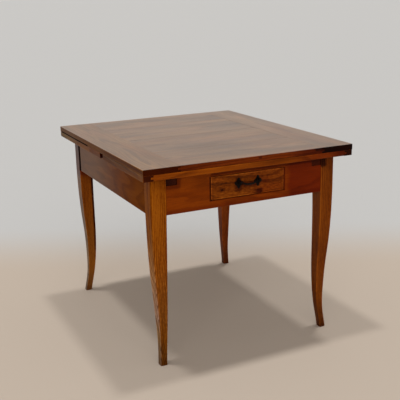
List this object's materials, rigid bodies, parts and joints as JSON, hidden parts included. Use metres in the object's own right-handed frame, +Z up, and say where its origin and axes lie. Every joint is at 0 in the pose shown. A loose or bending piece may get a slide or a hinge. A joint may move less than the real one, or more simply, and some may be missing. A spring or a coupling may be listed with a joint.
{
  "type": "draw-leaf table",
  "caption": "Square wooden draw-leaf table: loose clamped top over two sliding leaves, apron drawer with an iron bail pull, curved tapering legs.",
  "frame": {"origin": "on the floor under the middle of the closed table", "axes": "+Z up, -Y out of the drawer's front, so that the leaves draw along -Y and +Y, +X to the right of someone who faces the drawer"},
  "size_m": [0.87, 1.015, 0.78],
  "materials": {
    "top_wood": "waxed, satin, worn",
    "leaf_wood": "waxed, satin",
    "frame_wood": "waxed, satin",
    "leg_wood": "waxed, satin",
    "drawer_wood": "waxed, satin",
    "inside_wood": "bare, matt",
    "iron": "dark, dull"
  },
  "bodies": {
    "frame": {"leg_front_left": "leg_wood", "leg_front_right": "leg_wood", "leg_back_right": "leg_wood", "leg_back_left": "leg_wood", "apron_front": "frame_wood", "apron_back": "frame_wood", "apron_left": "frame_wood", "apron_right": "frame_wood", "centre_board": "leaf_wood", "cross_rail_front": "inside_wood", "cross_rail_back": "inside_wood", "drawer_bearer_left": "inside_wood", "drawer_bearer_right": "inside_wood", "drawer_kicker_left": "inside_wood", "drawer_kicker_right": "inside_wood"},
    "top": {"top_board_1": "top_wood", "top_board_2": "top_wood", "top_board_3": "top_wood", "top_board_4": "top_wood", "top_clamp_left": "top_wood", "top_clamp_right": "top_wood", "top_peg_left": "inside_wood", "top_peg_right": "inside_wood"},
    "leaf_front": {"leaf_front_board_outer": "leaf_wood", "leaf_front_board_inner": "leaf_wood", "leaf_front_clamp_left": "leaf_wood", "leaf_front_clamp_right": "leaf_wood", "leaf_front_runner_left": "frame_wood", "leaf_front_runner_right": "frame_wood", "leaf_front_stop_left": "inside_wood", "leaf_front_stop_right": "inside_wood"},
    "leaf_back": {"leaf_back_board_outer": "leaf_wood", "leaf_back_board_inner": "leaf_wood", "leaf_back_clamp_left": "leaf_wood", "leaf_back_clamp_right": "leaf_wood", "leaf_back_runner_left": "frame_wood", "leaf_back_runner_right": "frame_wood", "leaf_back_stop_left": "inside_wood", "leaf_back_stop_right": "inside_wood"},
    "drawer": {"drawer_front": "drawer_wood", "drawer_side_left": "inside_wood", "drawer_side_right": "inside_wood", "drawer_back": "inside_wood", "drawer_bottom": "inside_wood", "pull_post_left": "iron", "pull_post_right": "iron"},
    "bail": {"pull_bail": "iron"}
  },
  "joints": [
    {"name": "top_lift", "type": "slide", "parent": "frame", "child": "top", "axis": [0, 0, 1], "range_m": [0, 0.05]},
    {"name": "leaf_front_slide", "type": "slide", "parent": "frame", "child": "leaf_front", "axis": [0, -1, 0], "range_m": [0, 0.422]},
    {"name": "leaf_back_slide", "type": "slide", "parent": "frame", "child": "leaf_back", "axis": [0, 1, 0], "range_m": [0, 0.422]},
    {"name": "drawer_slide", "type": "slide", "parent": "frame", "child": "drawer", "axis": [0, -1, 0], "range_m": [0, 0.3]},
    {"name": "bail_swing", "type": "hinge", "parent": "drawer", "child": "bail", "pos_m": [0.004, -0.4648, 0.6765], "axis": [-1, 0, 0], "range_deg": [-64, 244]}
  ]
}
